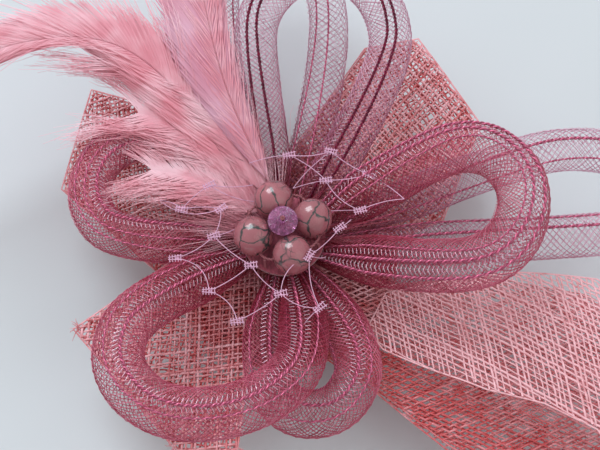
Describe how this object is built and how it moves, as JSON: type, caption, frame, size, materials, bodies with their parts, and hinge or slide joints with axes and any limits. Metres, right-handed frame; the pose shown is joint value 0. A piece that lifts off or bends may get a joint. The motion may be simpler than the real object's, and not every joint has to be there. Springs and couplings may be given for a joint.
{
  "type": "fascinator headpiece",
  "caption": "Dressy headpiece of looped crin tubes, straw-cloth leaves and loop, feathers, net and a bead cluster, sewn to a felt-backed base on a sprung hair clip.",
  "frame": {"origin": "centre of the flat, hair-side face of the clip's lower arm, where the piece meets the head", "axes": "+Z away from the head, +X from the clip's jaw to its finger tails, +Y along the hinge pin"},
  "size_m": [0.1691, 0.1354, 0.0427],
  "materials": {
    "clip_steel": "satin nickel-plated spring steel strip",
    "spring_steel": "bare spring wire",
    "felt": "dense pressed felt",
    "straw": "open plain weave of flat straw fibre",
    "crin": "braided mono-thread tube with twisted metallic rib threads",
    "feather": "fine matt barbs",
    "veil": "knotted veiling thread",
    "thread": "sewing thread",
    "stone": "polished veined stone",
    "crystal": "faceted tinted crystal"
  },
  "bodies": {
    "headpiece": {"clip_upper_arm": "clip_steel", "clip_hinge_pin": "clip_steel", "clip_spring": "spring_steel", "clip_stitches": "thread", "felt_backing": "felt", "sinamay_base": "straw", "sinamay_leaf_upper_left": "straw", "sinamay_leaf_upper_right": "straw", "sinamay_leaf_lower_left": "straw", "sinamay_loop_right": "straw", "crin_loop_top": "crin", "crin_loop_rear": "crin", "crin_loop_left": "crin", "crin_loop_lower_left": "crin", "crin_loop_bottom": "crin", "crin_loop_right": "crin", "crin_loop_far_right": "crin", "binding_thread": "thread", "feather_fluff": "feather", "feather_left": "feather", "feather_upright": "feather", "veil_net": "veil", "bead_pad": "felt", "bead_right": "stone", "bead_top": "stone", "bead_left": "stone", "bead_bottom": "stone", "bead_thread": "thread", "crystal_bead": "crystal", "crystal_thread": "thread"},
    "clip_jaw": {"clip_lower_arm": "clip_steel"}
  },
  "joints": [
    {"name": "clip_hinge", "type": "hinge", "parent": "headpiece", "child": "clip_jaw", "pos_m": [0.006, 0, 0.0029], "axis": [0, -1, 0], "range_deg": [0, 28], "stiffness_Nm_per_rad": 0.06, "springref_deg": -34.38, "deforming": ["clip_spring"]}
  ]
}
